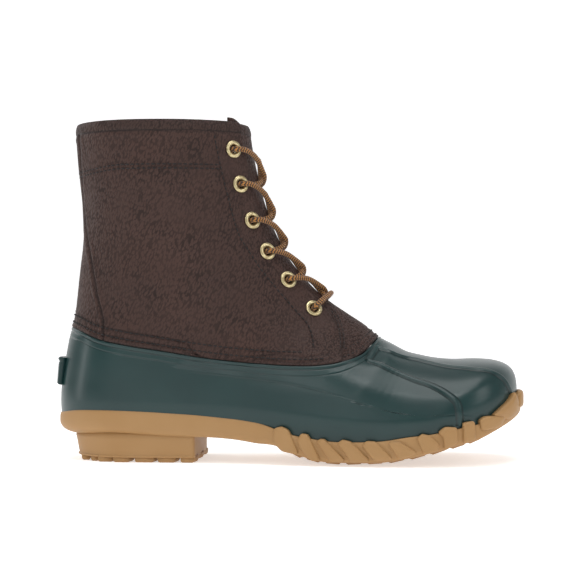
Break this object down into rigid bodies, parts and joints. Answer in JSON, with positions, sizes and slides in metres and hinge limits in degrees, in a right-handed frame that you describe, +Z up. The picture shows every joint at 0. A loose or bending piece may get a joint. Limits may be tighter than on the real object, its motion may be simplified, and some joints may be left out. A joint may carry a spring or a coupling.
{
  "type": "duck boot",
  "caption": "Right lace-up duck boot with a moulded rubber shell, leather upper, bellows tongue and rope-edged sole.",
  "frame": {"origin": "on the floor under the middle of the heel, at the flat underside of a heel lug", "axes": "+X to the toe, +Y to the inner side of the right foot, +Z up"},
  "size_m": [0.3132, 0.111, 0.2245],
  "materials": {
    "sole_rubber": "satin, honey-tan moulded rubber",
    "shell_rubber": "satin, dark green moulded rubber",
    "leather": "dark brown, fine pebbled grain",
    "footbed": "woven lining over foam",
    "brass": "antique, polished",
    "lace": "round two-tone braid"
  },
  "bodies": {
    "root": {"outsole": "sole_rubber", "rubber_shell": "shell_rubber", "leather_upper": "leather", "tongue": "leather", "collar_binding": "leather", "insole": "footbed", "eyelet_outer_1": "brass", "eyelet_outer_2": "brass", "eyelet_outer_3": "brass", "eyelet_outer_4": "brass", "eyelet_outer_5": "brass", "eyelet_outer_6": "brass", "eyelet_inner_1": "brass", "eyelet_inner_2": "brass", "eyelet_inner_3": "brass", "eyelet_inner_4": "brass", "eyelet_inner_5": "brass", "eyelet_inner_6": "brass", "lace_bar": "lace", "lace_cross_1": "lace", "lace_cross_2": "lace", "lace_cross_3": "lace", "lace_cross_4": "lace", "lace_cross_5": "lace"}
  },
  "joints": []
}
